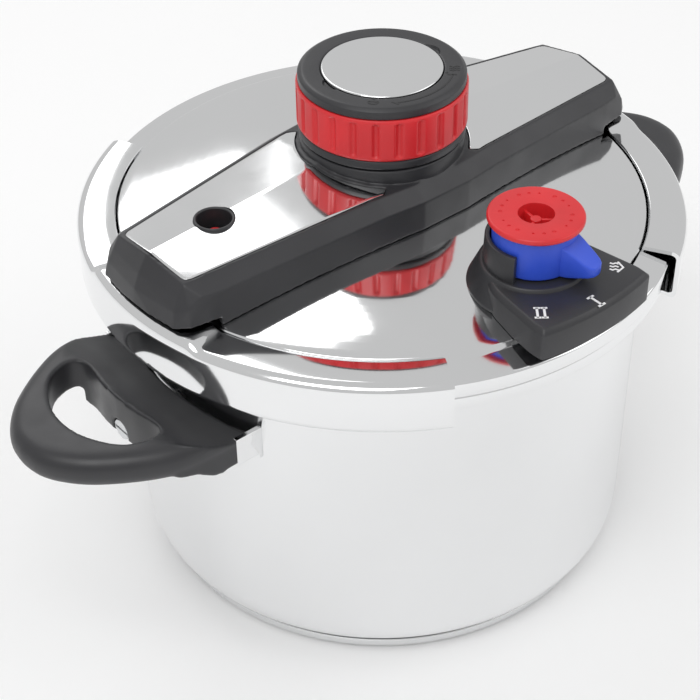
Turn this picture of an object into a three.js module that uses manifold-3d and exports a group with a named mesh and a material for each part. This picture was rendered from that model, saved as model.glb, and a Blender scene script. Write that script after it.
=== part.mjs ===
// A quick-release pressure canner: steel pot with two side handles, domed lid, two sliding
// clamp jaws worked by a cam under the knob, a pressure selector and a red pressure indicator.
// Millimetres, +Z up, origin at the centre of the base on the floor. The bridge and the side
// handles lie along X, the pressure selector lies on -Y.
import * as THREE from 'three';
import { ConvexGeometry } from 'three/addons/geometries/ConvexGeometry.js';
import { mergeVertices } from 'three/addons/utils/BufferGeometryUtils.js';
import Module from 'manifold-3d';

const wasm = await Module();
wasm.setup();

// Driving dimensions
const RIM = 164.7;             // height of the jaws' outer shoulder; the upper parts are drawn from it
const POT_INNER = 110;         // inside radius of the pot
const POT_OUTER = 111.1;       // outside radius of the pot
const FLANGE_RADIUS = 122.4;   // outer radius of the pot's rolled flange
const LID_RADIUS = 123.4;      // outer radius of the lid's skirt
const DOME_RADIUS = 110.3;     // where the dome steps down to the lid's ledge
const DOME_TOP = 11.3;         // height of the dome's centre
const DOME_RISE = 8.8;         // the dome's rise from its edge to its centre
const SHEET = 1.2;             // thickness of the lid's sheet
const JAW_RADIUS = 127.6;      // outer radius of the clamp jaws
const JAW_HALF_ANGLE = 61;     // each jaw spans this many degrees either side of X
const JAW_SHEET = 1.7;         // thickness of the jaws' sheet
const JAW_TRAVEL = 10;         // how far each jaw slides out
const KNOB_TURN = 100;         // degrees that the knob turns to open the jaws
const PIN_RADIUS_AT_REST = 16; // distance of each cam pin from the knob's axis, jaws closed
const GAP = 0.3;               // clearance between pieces that rest on each other
const INDICATOR_X = -85.7;     // the pressure indicator's axis
const SAFETY_X = 85.7;         // the safety valve's axis
const VALVE_Y = -88.5;         // the pressure selector's axis
const BRIDGE_END = 105;        // where the bridge's straight sides give way to its rounded ends
const SCREW_X = 62;            // the bridge screws' distance from the centre
const HANDLE_SCREW_Z = -50;    // height of the handle screws' axis

const BIG = 36;                // facets round the pot and lid
const MEDIUM = 24;             // facets round the knob and selector
const SMALL = 10;              // facets round pins, screws and holes

const DEGREE = Math.PI / 180;

// Finishes
const polished = () => new THREE.MeshStandardMaterial({ color: 0xdfe1e4, roughness: 0.08, metalness: 1 });
const brushed = () => new THREE.MeshStandardMaterial({ color: 0xc4c7ca, roughness: 0.3, metalness: 1 });
const black = () => new THREE.MeshStandardMaterial({ color: 0x232326, roughness: 0.45, metalness: 0 });
const red = () => new THREE.MeshStandardMaterial({ color: 0xc81e22, roughness: 0.4, metalness: 0 });
const blue = () => new THREE.MeshStandardMaterial({ color: 0x2350d8, roughness: 0.4, metalness: 0 });
const silicone = () => new THREE.MeshStandardMaterial({ color: 0x8d9196, roughness: 0.7, metalness: 0 });
const brass = () => new THREE.MeshStandardMaterial({ color: 0xb59a55, roughness: 0.35, metalness: 1 });

// Six times the volume inside a set of triangles: negative when their faces point inwards.
function signedVolume(positions, triangles) {
  const [a, b, c] = [new THREE.Vector3(), new THREE.Vector3(), new THREE.Vector3()];
  let sum = 0;
  for (let i = 0; i < triangles.length; i += 3) {
    a.fromArray(positions, 3 * triangles[i]);
    b.fromArray(positions, 3 * triangles[i + 1]);
    c.fromArray(positions, 3 * triangles[i + 2]);
    sum += a.dot(b.cross(c));
  }
  return sum;
}

// Turns a closed three.js geometry into a solid that can be cut and joined.
function solidOf(geometry) {
  const bare = geometry.index ? geometry.toNonIndexed() : geometry.clone();
  bare.deleteAttribute('normal');
  bare.deleteAttribute('uv');
  const merged = mergeVertices(bare, 1e-4);
  const corners = merged.index.array;
  const triangles = [];
  for (let i = 0; i < corners.length; i += 3) {
    const [a, b, c] = [corners[i], corners[i + 1], corners[i + 2]];
    if (a !== b && b !== c && c !== a) triangles.push(a, b, c);
  }
  const positions = new Float32Array(merged.attributes.position.array);
  if (signedVolume(positions, triangles) < 0) triangles.reverse();
  const mesh = new wasm.Mesh({
    numProp: 3,
    vertProperties: positions,
    triVerts: new Uint32Array(triangles),
  });
  return new wasm.Manifold(mesh);
}

// Turns a finished solid back into a three.js geometry.
function geometryOf(solid) {
  const mesh = solid.getMesh();
  const geometry = new THREE.BufferGeometry();
  geometry.setAttribute('position', new THREE.BufferAttribute(mesh.vertProperties, 3));
  geometry.setIndex(new THREE.BufferAttribute(mesh.triVerts, 1));
  geometry.computeVertexNormals();
  return geometry;
}

// A solid turned about a vertical axis at (x, y), from a closed outline of [radius, height] points.
function turned(outline, facets, x = 0, y = 0) {
  const points = outline.map(([radius, height]) => new THREE.Vector2(radius, height));
  points.push(points[0].clone());
  const geometry = new THREE.LatheGeometry(points, facets);
  geometry.rotateX(Math.PI / 2);
  geometry.translate(x, y, 0);
  return solidOf(geometry);
}

// A plain upright cylinder, used for holes and shanks.
function rod(radius, low, high, x = 0, y = 0, facets = SMALL) {
  return turned([[0, low], [radius, low], [radius, high], [0, high]], facets, x, y);
}

// A cylinder along X at height z.
function rodAlongX(radius, from, to, z) {
  const geometry = new THREE.CylinderGeometry(radius, radius, to - from, SMALL);
  geometry.rotateZ(Math.PI / 2);
  geometry.translate((from + to) / 2, 0, z);
  return solidOf(geometry);
}

// An upright plate from a plan outline of [x, y] points.
function plate(outline, low, high) {
  const shape = new THREE.Shape(outline.map(([x, y]) => new THREE.Vector2(x, y)));
  const geometry = new THREE.ExtrudeGeometry(shape, { depth: high - low, bevelEnabled: false });
  geometry.translate(0, 0, low);
  return solidOf(geometry);
}

// A plate cut from a side outline of [x, z] points, its width centred on y = 0.
function sidePlate(outline, width) {
  const shape = new THREE.Shape(outline.map(([x, z]) => new THREE.Vector2(x, z)));
  const geometry = new THREE.ExtrudeGeometry(shape, { depth: width, bevelEnabled: false });
  geometry.translate(0, 0, -width / 2);
  geometry.rotateX(Math.PI / 2);
  return solidOf(geometry);
}

// A block between two corners.
function block(low, high) {
  const size = high.map((value, axis) => value - low[axis]);
  const middle = high.map((value, axis) => (value + low[axis]) / 2);
  const geometry = new THREE.BoxGeometry(...size);
  geometry.translate(...middle);
  return solidOf(geometry);
}

// The convex solid round a set of [x, y, z] points.
function hull(points) {
  return solidOf(new ConvexGeometry(points.map((point) => new THREE.Vector3(...point))));
}

// A solid through a row of convex sections, each a ring of [x, y, z] points.
function loft(sections) {
  const count = sections[0].length;
  const last = (sections.length - 1) * count;
  const faces = [];
  for (let s = 0; s < sections.length - 1; s += 1) {
    for (let i = 0; i < count; i += 1) {
      const a = s * count + i;
      const b = s * count + (i + 1) % count;
      faces.push(a, b, b + count, a, b + count, a + count);
    }
  }
  for (let i = 1; i < count - 1; i += 1) {
    faces.push(0, i + 1, i, last, last + i, last + i + 1);
  }
  const geometry = new THREE.BufferGeometry();
  geometry.setAttribute('position', new THREE.Float32BufferAttribute(sections.flat(2), 3));
  geometry.setIndex(faces);
  return solidOf(geometry);
}

// Points on an arc about (cx, cy), both ends included.
function arc(cx, cy, radius, fromDegrees, toDegrees, steps) {
  return Array.from({ length: steps + 1 }, (_, i) => {
    const angle = (fromDegrees + (toDegrees - fromDegrees) * i / steps) * DEGREE;
    return [cx + radius * Math.cos(angle), cy + radius * Math.sin(angle)];
  });
}

// A piece with a six-sided outline, such as a nut.
function hexagon(cornerRadius, low, high, x = 0, y = 0) {
  return turned([[0, low], [cornerRadius, low], [cornerRadius, high], [0, high]], 6, x, y);
}

// The main body of a solid, without the slivers that faces lying flush can leave.
function mainBody(solid) {
  return solid.decompose().reduce((best, part) => (part.volume() > best.volume() ? part : best));
}

// Names a solid as a piece of the model.
function piece(group, name, solid, material, turn = 0) {
  const mesh = new THREE.Mesh(geometryOf(mainBody(solid)), material);
  mesh.name = name;
  mesh.rotation.z = turn;
  group.add(mesh);
}

// Height of the dome's outer face at a radius.
function domeHeight(radius) {
  return DOME_TOP - DOME_RISE * (radius / DOME_RADIUS) ** 2;
}

// Points on the dome, offset straight up, from the axis outwards.
function domePoints(offset, toRadius) {
  const radii = [0, 44, 74, 95].filter((radius) => radius < toRadius - 2);
  return [...radii, toRadius].map((radius) => [radius, domeHeight(radius) + offset]);
}

// Everything below the lid's outer face plus a small clearance, to trim what stands on the lid.
function belowDome(shelfHeight) {
  const top = domePoints(0.4, 109).reverse();
  return turned([[0, -60], [150, -60], [150, shelfHeight], [109, shelfHeight], ...top], BIG);
}

// ---- Pot ----

function potBody() {
  const flangeTop = RIM - 8.3;
  return turned([
    [0, 7], [103.6, 7], [105.2, 8.2], [106, 9], [108.6, 11.6], [110.3, 15], [POT_OUTER, 20],
    [POT_OUTER, flangeTop - 5.7], [112.5, flangeTop - 3], [114.6, flangeTop - SHEET],
    [FLANGE_RADIUS - SHEET, flangeTop - SHEET], [FLANGE_RADIUS - SHEET, flangeTop - 6.1],
    [FLANGE_RADIUS, flangeTop - 6.1], [FLANGE_RADIUS, flangeTop - 1], [FLANGE_RADIUS - 1, flangeTop],
    [114, flangeTop], [111.6, flangeTop - 2.3], [POT_INNER, flangeTop - 5.5],
    [POT_INNER, 20.2], [109.2, 15.5], [107.7, 12.4], [105.3, 10], [103, 8.6], [100, 8.2], [0, 8.2],
  ], BIG);
}

function baseCore() {
  return turned([[0, 1.3], [100.6, 1.3], [101.6, 2.4], [101.6, 6.7], [0, 6.7]], BIG);
}

function baseCap() {
  return turned([
    [0, 0], [101.8, 0], [103.6, 1.2], [104.8, 3.2], [105.3, 6.7], [104.1, 6.7],
    [103.6, 3.4], [102.7, 1.8], [101.2, 0.9], [0, 0.9],
  ], BIG);
}

// Finger hole of a side handle, in plan, on the -X side.
function fingerHole() {
  const half = [
    [-137.6, 11], [-135.8, 22], [-137.4, 27.6], [-141, 29.2], [-147, 28.4], [-152.6, 25], [-157.6, 18],
    [-161.4, 9],
  ];
  const other = half.map(([x, y]) => [x, -y]).reverse();
  return [[-138.4, 0], ...half, [-162.6, 0], ...other];
}

// Outer outline of a side handle, in plan, on the -X side.
function handleOutline() {
  const half = [
    new THREE.Vector2(-124, 45.4), new THREE.Vector2(-139, 43.5), new THREE.Vector2(-152, 36.5),
    new THREE.Vector2(-168, 26.5), new THREE.Vector2(-175.5, 18), new THREE.Vector2(-180.4, 9),
    new THREE.Vector2(-182, 0),
  ];
  const other = half.slice(0, -1).map((point) => new THREE.Vector2(point.x, -point.y)).reverse();
  const curve = new THREE.SplineCurve([...half, ...other]);
  const shape = new THREE.Shape();
  shape.moveTo(-108, 45.4);
  curve.getPoints(30).forEach((point) => shape.lineTo(point.x, point.y));
  shape.lineTo(-108, -45.4);
  return shape;
}

// The loop that the fingers close round, with rounded edges.
function handleLoop() {
  const bevel = 3.5;
  const geometry = new THREE.ExtrudeGeometry(handleOutline(), {
    depth: 14.5 - 2 * bevel,
    bevelThickness: bevel,
    bevelSize: bevel,
    bevelOffset: -bevel,
    bevelSegments: 3,
    curveSegments: 4,
  });
  geometry.translate(0, 0, -46 + bevel);
  return solidOf(geometry);
}

// The neck between the loop and the pot: its sides, and a deeper middle that takes the screw.
function handleNeck() {
  const sides = sidePlate([
    [-100, -52.4], [-117.6, -52.4], [-120, -53.6], [-124.7, -52.3], [-131.6, -47.1], [-139, -45.9],
    [-139, -34], [-100, -34],
  ], 90.8);
  const middle = sidePlate([[-100, -56], [-134, -56], [-139, -52], [-139, -40], [-100, -40]], 56);
  return sides.add(middle);
}

// A side handle on -X: its top falls away towards the pot, and it is opened for the fingers, the
// pot, the bracket's wings and the screw.
function sideHandle() {
  const falling = sidePlate([[-139, -31.4], [-121, -38], [-98, -44.5], [-98, 0], [-139, 0]], 140);
  return handleLoop()
    .add(handleNeck())
    .subtract(falling)
    .subtract(plate(fingerHole(), -60, 0))
    .subtract(rod(113.6, -70, 0, 0, 0, BIG))
    .subtract(block([-114.2, 42.9, -60], [-90, 60, 0]))
    .subtract(block([-114.2, -60, -60], [-90, -42.9, 0]))
    .subtract(rodAlongX(2.9, -145, -100, HANDLE_SCREW_Z))
    .subtract(rodAlongX(5, -145, -134.8, HANDLE_SCREW_Z));
}

// The steel bracket welded to the pot: a band on the wall and two wings along the handle's neck.
function handleBracket() {
  const wings = block([-113.8, -45.2, -52.4], [-100, 45.2, -39.5])
    .subtract(block([-120, -43.3, -60], [-90, 43.3, -30]));
  const band = turned([[111.5, -55], [113.1, -55], [113.1, -46.2], [111.5, -46.2]], BIG);
  return band.intersect(block([-120, -45.2, -60], [-90, 45.2, 0]))
    .add(wings)
    .subtract(rod(111.5, -60, 0, 0, 0, BIG))
    .subtract(rodAlongX(2.9, -130, -100, HANDLE_SCREW_Z));
}

function handleScrew() {
  return rodAlongX(2.5, -136, -112, HANDLE_SCREW_Z)
    .add(rodAlongX(4.5, -137.6, -135.2, HANDLE_SCREW_Z))
    .subtract(block([-139, -4, HANDLE_SCREW_Z - 0.6], [-136.8, 4, HANDLE_SCREW_Z + 0.6]));
}

// ---- Lid ----

function lidShell() {
  const under = domePoints(-SHEET, 109.6).reverse();
  let lid = turned([
    ...under, ...domePoints(0, DOME_RADIUS), [111.3, 0.5], [112, 0.35], [122.6, -1],
    [LID_RADIUS, -1.8], [LID_RADIUS, -7.9], [LID_RADIUS - SHEET, -7.9], [LID_RADIUS - SHEET, -2.4],
    [112.2, -1], [110.4, -0.4],
  ].reverse(), BIG);
  const holes = [
    [6.4, 0, 0], [3.2, INDICATOR_X, 0], [3.9, SAFETY_X, 0], [6.1, 0, VALVE_Y],
    [2.9, SCREW_X, 0], [2.9, -SCREW_X, 0], [2, 15, -104], [2, -15, -104],
  ];
  holes.forEach(([radius, x, y]) => {
    lid = lid.subtract(rod(radius, -20, 20, x, y));
  });
  return lid;
}

// The silicone ring, a channel open towards the axis so that pressure spreads its lips.
function gasketRing() {
  return turned([
    [113, -8], [121.4, -8], [121.4, -2.9], [113, -1.7], [113, -2.9], [117.4, -4.2],
    [117.4, -6], [113, -7],
  ], BIG);
}

function lidStud() {
  return turned([[0, 7], [11, 7], [11, 9.7], [6, 9.7], [6, 54], [5, 55], [0, 55]], SMALL * 2);
}

function studNut() {
  return hexagon(9, 15, 17.2).subtract(rod(6.3, 10, 20, 0, 0, SMALL * 2));
}

function knobClip() {
  return turned([[6.3, 50.3], [9.6, 50.3], [9.6, 51.7], [6.3, 51.7]], SMALL * 2);
}

// ---- Bridge ----

// Half-width of the bright trim at a distance from the centre.
function trimHalfWidth(distance) {
  return 30.1 - 0.1165 * (Math.max(distance, 12) - 30);
}

// Height of the trim's edge at a distance from the centre.
function trimEdgeHeight(distance) {
  return 23.7 + 0.062 * (110 - Math.max(distance, 30));
}

const CREASE = 3.3;            // the roof's crease stands this far above its edges

// One section across the bridge: roof crease, trim edge, border, chamfer, then the upright sides.
function bridgeSection(x, low, inset = 0, drop = 0) {
  const width = trimHalfWidth(Math.abs(x));
  const edge = trimEdgeHeight(Math.abs(x)) - drop;
  const half = [
    [width - inset, edge], [width + 1.4 - inset, edge - 0.1],
    [width + 7.7 - inset, edge - 5.2], [width + 7.7 - inset, low],
  ];
  const right = half.map(([y, z]) => [x, y, z]);
  const left = half.map(([y, z]) => [x, -y, z]).reverse();
  return [[x, 0, edge + CREASE], ...right, ...left];
}

// The outer form of the bridge's long middle.
function bridgeMiddle(low, inset = 0, drop = 0) {
  const stations = [-BRIDGE_END, -30, -12, 12, 30, BRIDGE_END];
  return loft(stations.map((x) => bridgeSection(x, low, inset, drop)));
}

// The rounded end of the bridge on one side, convex, bulging out over the jaw.
function bridgeEnd(side, low, inset = 0, drop = 0) {
  const top = trimEdgeHeight(117) - drop;
  const face = [
    [117.5, 0, top + CREASE - 0.3], [116, 21.5, top - 0.2], [121.8, 0, 19.5 - drop],
    [119.2, 21.4, 18 - drop], [124.4, 0, 13.5], [121.6, 22.2, 13], [125.3, 0, low],
    [124.9, 10, low], [123.2, 23, low], [118, 27, low], [117.6, 26.6, 15 - drop], [112, 27.7, 19 - drop],
  ];
  const points = bridgeSection(side * BRIDGE_END, low, inset, drop);
  face.forEach(([x, y, z]) => {
    points.push([side * (x - inset), y - Math.sign(y) * inset, z]);
    points.push([side * (x - inset), -y + Math.sign(y) * inset, z]);
  });
  return hull(points);
}

// Everything below the roof face, lowered by drop: used to cut and to thin the trim plates.
function belowRoof(drop) {
  const reach = 1.15;
  return loft([-130, -30, 30, 130].map((x) => {
    const width = trimHalfWidth(Math.max(Math.abs(x), 30));
    const edge = trimEdgeHeight(Math.abs(x)) - drop;
    const eave = edge - CREASE * (reach - 1);
    return [
      [x, 0, edge + CREASE], [x, width * reach, eave], [x, width * reach, 5],
      [x, -width * reach, 5], [x, -width * reach, eave],
    ];
  }));
}

// Plan outline of a bright trim plate on -X, grown by a clearance.
function trimOutline(grow) {
  const cutRadius = 36 - grow;
  const width = (distance) => trimHalfWidth(distance) + grow;
  const corner = arc(-111.4, width(113) - 2.6, 2.6, 90, 168, 4);
  const otherCorner = corner.map(([x, y]) => [x, -y]).reverse();
  const horn = 26 - 2 * grow;
  const hornAngle = 51 + 3 * grow;
  return [
    [-horn, width(26)], ...corner, [-116 - grow, 0], ...otherCorner,
    [-horn, -width(26)], ...arc(0, 0, cutRadius, 180 + hornAngle, 180 - hornAngle, 8),
  ];
}

// The bright plate on -X; only one of the two has the indicator's hole.
function trimPlate(withHole) {
  const trim = plate(trimOutline(0), 5, 45)
    .intersect(belowRoof(0))
    .subtract(belowRoof(1));
  return withHole ? trim.subtract(rod(8.4, 10, 45, INDICATOR_X, 0, MEDIUM)) : trim;
}

// Recess for both trim plates in the cover's roof.
function trimRecess() {
  const left = plate(trimOutline(GAP), 5, 45);
  const right = plate(trimOutline(GAP).map(([x, y]) => [-x, -y]), 5, 45);
  return left.add(right).subtract(belowRoof(1 + GAP));
}

function bridgeCover() {
  const wall = 2.3;
  const endLow = 6.8;
  const outside = bridgeMiddle(-5)
    .add(bridgeEnd(-1, endLow))
    .add(bridgeEnd(1, endLow));
  const inside = bridgeMiddle(-9, wall, 3.7)
    .add(bridgeEnd(-1, 0, wall, 3.7))
    .add(bridgeEnd(1, 0, wall, 3.7));
  const socket = turned([
    [13, 26], [33.8, 26], [33.8, 34.3], [33.2, 34.9], [31, 34.9], [31, 31], [16, 31], [16, 34.9], [13, 34.9],
  ], MEDIUM);
  return outside
    .subtract(inside)
    .subtract(belowDome(3.1))
    .subtract(trimRecess())
    .subtract(rod(33, 20, 45, 0, 0, MEDIUM))
    .add(socket)
    .subtract(rod(8.4, 10, 45, INDICATOR_X, 0, MEDIUM));
}

// The steel channel that carries the sliders.
function bridgeChannel() {
  const half = 18.5;
  const channel = block([-92, -half, 13.2], [92, half, 17.2])
    .subtract(block([-95, -half + 1.5, 14.7], [95, half - 1.5, 20]));
  return channel
    .subtract(rod(6.4, 10, 20, 0, 0, SMALL * 2))
    .subtract(rod(2.9, 10, 20, SCREW_X))
    .subtract(rod(2.9, 10, 20, -SCREW_X))
    .subtract(rod(5.4, 10, 20, INDICATOR_X))
    .subtract(rod(5.4, 10, 20, SAFETY_X));
}

function bridgeScrew() {
  return turned([[0, 4.8], [5, 4.8], [5, 6.4], [2.5, 6.4], [2.5, 17.4], [0, 17.4]], SMALL, SCREW_X);
}

function bridgeSpacer() {
  return turned([[2.9, 9.5], [5.5, 9.5], [5.5, 12.9], [2.9, 12.9]], SMALL, SCREW_X);
}

function bridgeNut() {
  return hexagon(4.8, 15, 17.2, SCREW_X).subtract(rod(2.8, 10, 20, SCREW_X));
}

// ---- Knob ----

function knobHub() {
  return turned([
    [6.4, 19.9], [12.4, 19.9], [12.4, 35.7], [34, 35.7], [34.5, 36.2], [34.5, 39.2], [34, 39.7],
    [31.2, 39.7], [31.2, 57.8], [28.5, 57.8], [28.5, 42.5], [12, 42.5], [12, 50], [6.4, 50],
  ], MEDIUM);
}

// The red grip ring with upright finger slots all round.
function knobGrip() {
  const slots = 24;
  const outline = [];
  for (let i = 0; i < slots; i += 1) {
    const middle = i * 360 / slots;
    outline.push(...arc(0, 0, 33.4, middle - 1.6, middle + 1.6, 1));
    outline.push(...arc(0, 0, 34.8, middle + 2.6, middle + 360 / slots - 2.6, 2));
  }
  return plate(outline, 40, 58.2).subtract(rod(31.5, 30, 60, 0, 0, MEDIUM));
}

function knobTopRing() {
  return turned([
    [0, 59.9], [28.2, 59.9], [28.2, 58.5], [34, 58.5], [34, 62.1], [32, 63],
    [24.9, 63], [24.9, 61.4], [0, 61.4],
  ], MEDIUM);
}

function knobDisc() {
  return turned([[0, 61.7], [24.5, 61.7], [24.5, 63], [24, 63.4], [0, 63.4]], MEDIUM);
}

// A spiral slot in the cam disc: turning the knob carries the pin outwards.
function camSlot(start) {
  const halfWidth = 3;
  const steps = 14;
  const edge = (offset) => Array.from({ length: steps + 1 }, (_, i) => {
    const turn = -11 + 119 * i / steps;
    const radius = PIN_RADIUS_AT_REST + JAW_TRAVEL * turn / KNOB_TURN + offset;
    const angle = (start - turn) * DEGREE;
    return [radius * Math.cos(angle), radius * Math.sin(angle)];
  });
  return plate([...edge(halfWidth), ...edge(-halfWidth).reverse()], 15, 25);
}

function camDisc() {
  return turned([[6.4, 17.6], [32, 17.6], [32, 19.6], [6.4, 19.6]], MEDIUM)
    .subtract(camSlot(0))
    .subtract(camSlot(180));
}

// ---- Clamp jaws, drawn on +X ----

// The raised band's section across, from its top down to a given depth of material.
function bandSection(drop) {
  const high = 4.6;
  const low = 2.6;
  return [
    [-36, low], [-30, high], [30, high], [36, low], [36, low - drop], [29.3, high - drop],
    [-29.3, high - drop], [-36, low - drop],
  ];
}

// A bar along X with the raised band's section.
function bandBar(drop, from, to) {
  const shape = new THREE.Shape(bandSection(drop).map(([y, z]) => new THREE.Vector2(y, z)));
  const geometry = new THREE.ExtrudeGeometry(shape, { depth: to - from, bevelEnabled: false });
  geometry.rotateX(Math.PI / 2);
  geometry.rotateZ(Math.PI / 2);
  geometry.translate(from, 0, 0);
  return solidOf(geometry);
}

// The bent rim of the jaw: top sheet, skirt and the hook that catches the pot's flange.
function jawRim() {
  const ring = turned([
    [113, -17.1], [125, -19.5], [126.4, -19.5], [JAW_RADIUS, -17.8], [JAW_RADIUS, 0], [126.7, 1.6],
    [124.5, 2.6], [111.7, 2.6], [111.7, 0.9], [124.2, 0.9], [125.9, -0.2], [125.9, -16.8],
    [124.6, -17.6], [113, -15.9],
  ], BIG);
  const reach = 200;
  const spread = reach * Math.tan(JAW_HALF_ANGLE * DEGREE);
  return ring
    .intersect(plate([[0, 0], [reach, -spread], [reach, spread]], -30, 10))
    .subtract(rod(123, -25, -14, -10, 0, BIG))
    .subtract(block([90, -35.6, 0], [140, 35.6, 10]).intersect(rod(125.2, -5, 15, 0, 0, BIG)));
}

// The raised band over the slider: its sheet, and the low face that closes it over the skirt.
function jawBand() {
  const face = turned([[124.8, -0.8], [126.6, -0.8], [126.6, 6], [124.8, 6]], BIG);
  return bandBar(JAW_SHEET, 95, 135)
    .intersect(rod(126.6, -20, 20, 0, 0, BIG))
    .subtract(rod(111.7, -20, 20, 0, 0, BIG))
    .add(face.intersect(bandBar(5, 95, 135)));
}

function jaw() {
  return jawRim()
    .add(jawBand())
    .subtract(rod(1.9, -5, 10, 114.2, 9))
    .subtract(rod(1.9, -5, 10, 114.2, -9));
}

// The strap from the cam pin out to the jaw, slotted for the screw and the indicator's tube.
function slider() {
  return sidePlate([
    [10, 15], [94, 15], [100.5, 4.9], [117, 4.9], [117, 6.5], [101.6, 6.5], [95, 17], [10, 17],
  ], 32)
    .subtract(block([46.5, -5.8, 10], [92, 5.8, 20]))
    .subtract(rod(2, 10, 20, PIN_RADIUS_AT_REST))
    .subtract(rod(1.9, 0, 10, 114.2, 9))
    .subtract(rod(1.9, 0, 10, 114.2, -9));
}

function camPin() {
  return turned([[0, 15.1], [1.7, 15.1], [1.7, 17.3], [2.5, 17.3], [2.5, 20.2], [0, 20.2]],
    SMALL, PIN_RADIUS_AT_REST);
}

function jawRivet(y) {
  return turned([[0, 1.3], [3, 1.3], [3, 2.6], [1.6, 2.6], [1.6, 6.4], [0, 6.4]], SMALL, 114.2, y);
}

// ---- Pressure indicator and safety valve ----

function indicatorBush() {
  return turned([[6.8, 21], [8.1, 21], [8.1, 30], [6.8, 30]], MEDIUM, INDICATOR_X)
    .intersect(belowRoof(-0.3));
}

function indicatorHousing() {
  return turned([[2.4, 7], [5, 7], [5, 18.8], [2.4, 18.8]], SMALL, INDICATOR_X);
}

function indicatorPin() {
  return turned([
    [0, -2.2], [1.8, -2.2], [1.8, 19.2], [3.4, 19.2], [3.4, 21.2], [2.6, 22.3], [1.3, 22.9], [0, 23.1],
  ], SMALL, INDICATOR_X);
}

function indicatorSeal() {
  return turned([[2.1, -1.9], [4.3, -1.9], [4.3, -0.5], [2.1, -0.5]], SMALL, INDICATOR_X);
}

function safetyValve() {
  return turned([[0, -1], [3.5, -1], [3.5, 7.3], [5, 7.3], [5, 12.4], [0, 12.4]], SMALL, SAFETY_X);
}

function safetyNut() {
  return hexagon(6.5, 0.4, 3.5, SAFETY_X).subtract(rod(3.8, -5, 10, SAFETY_X));
}

// ---- Pressure selector ----

// Plan outline of the selector's housing plate, shrunk by an inset.
function housingOutline(inset) {
  const half = [
    [18 - inset * 0.5, -78 - inset * 0.2], [25.3 - inset, -92], [29.2 - inset, -117.5],
    [28.6 - inset, -120.8 + inset * 0.7], [26 - inset, -123.4 + inset],
  ];
  const front = arc(0, 0, 126.4 - inset, -79.6, -100.4, 8);
  const other = half.map(([x, y]) => [-x, y]).reverse();
  return [...half, ...front, ...other];
}

function housingTower() {
  const openFrom = -158;
  const openTo = -18;
  const wall = turned([[17.2, 16], [19.2, 16], [19, 28.1], [18.6, 28.6], [17.2, 28.6]], MEDIUM, 0, VALVE_Y);
  const opening = plate([[0, VALVE_Y], ...arc(0, VALVE_Y, 60, openFrom, openTo, 6)], 17.5, 40);
  return turned([[0, 2], [26.2, 2], [25.7, 7], [21.2, 16.6], [20.6, 17.4], [0, 17.4]], MEDIUM, 0, VALVE_Y)
    .add(wall.subtract(opening));
}

// The black housing: plate with a chamfered rim, tower, and screw bosses inside.
function valveHousing() {
  const chamfer = 1.6;
  const rim = plate(housingOutline(0), -10, 16 - chamfer);
  const low = housingOutline(0).map(([x, y]) => [x, y, 16 - chamfer]);
  const high = housingOutline(chamfer).map(([x, y]) => [x, y, 16]);
  const pocket = plate(housingOutline(2.4), -12, 13.4);
  const towerPocket = turned([[0, -12], [23.4, -12], [23, 7], [19.4, 14.6], [0, 14.6]], MEDIUM, 0, VALVE_Y);
  const bosses = rod(4, -10, 14, 15, -104).add(rod(4, -10, 14, -15, -104));
  return rim.add(loft([low.reverse(), high.reverse()]))
    .add(housingTower())
    .subtract(pocket.add(towerPocket))
    .add(bosses)
    .subtract(rod(1.9, -12, 12.5, 15, -104))
    .subtract(rod(1.9, -12, 12.5, -15, -104))
    .subtract(rod(6.2, 0, 30, 0, VALVE_Y))
    .subtract(belowDome(3));
}

function valveBody() {
  return turned([
    [2, -4.5], [5.6, -4.5], [5.6, 7.5], [9, 7.5], [9, 10], [5.6, 10], [5.6, 16.4], [3.4, 16.4], [2, 15],
  ], SMALL * 2, 0, VALVE_Y);
}

function valveNut() {
  return hexagon(9.5, -1.2, 2.4, 0, VALVE_Y).subtract(rod(6, -5, 10, 0, VALVE_Y));
}

// A strainer cup that keeps food out of the valve, with a ring of holes in its wall.
function valveFilter() {
  let cup = turned([[0, -9], [8.4, -9], [8.4, -1.6], [7.4, -1.6], [7.4, -8], [0, -8]], SMALL, 0, VALVE_Y);
  arc(0, VALVE_Y, 4.5, 0, 300, 5).forEach(([x, y]) => {
    cup = cup.subtract(rod(1, -12, -5, x, y, 8));
  });
  return cup;
}

function valveScrew(x) {
  return turned([[0, -1.6], [3.4, -1.6], [3.4, 0.6], [1.5, 0.6], [1.5, 12], [0, 12]], SMALL, x, -104);
}

// The blue collar with its pointing lever; the lever points a little to the +X side of -Y.
function selectorCollar() {
  const leverAngle = -76;
  const collar = turned([
    [6.2, 17.8], [15.6, 17.8], [16.5, 19], [16.5, 35.1], [9.2, 35.1], [9.2, 29.6], [6.2, 29.6],
  ], MEDIUM, 0, VALVE_Y);
  const along = [Math.cos(leverAngle * DEGREE), Math.sin(leverAngle * DEGREE)];
  const across = [-along[1], along[0]];
  const place = ([r, s, z]) => [along[0] * r + across[0] * s, VALVE_Y + along[1] * r + across[1] * s, z];
  const half = [
    [14, 6.2, 31.5], [14, 6.2, 18.2], [25, 4.6, 20], [25, 4.6, 26.2], [27.6, 2.4, 20.6], [27.6, 2.4, 25.2],
  ];
  const points = [...half, ...half.map(([r, s, z]) => [r, -s, z]), [28.4, 0, 25], [28.4, 0, 20.8]];
  const bore = rod(9.2, 29.6, 45, 0, VALVE_Y, MEDIUM).add(rod(6.2, 10, 45, 0, VALVE_Y, MEDIUM));
  return collar.add(hull(points.map(place)).subtract(bore));
}

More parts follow.
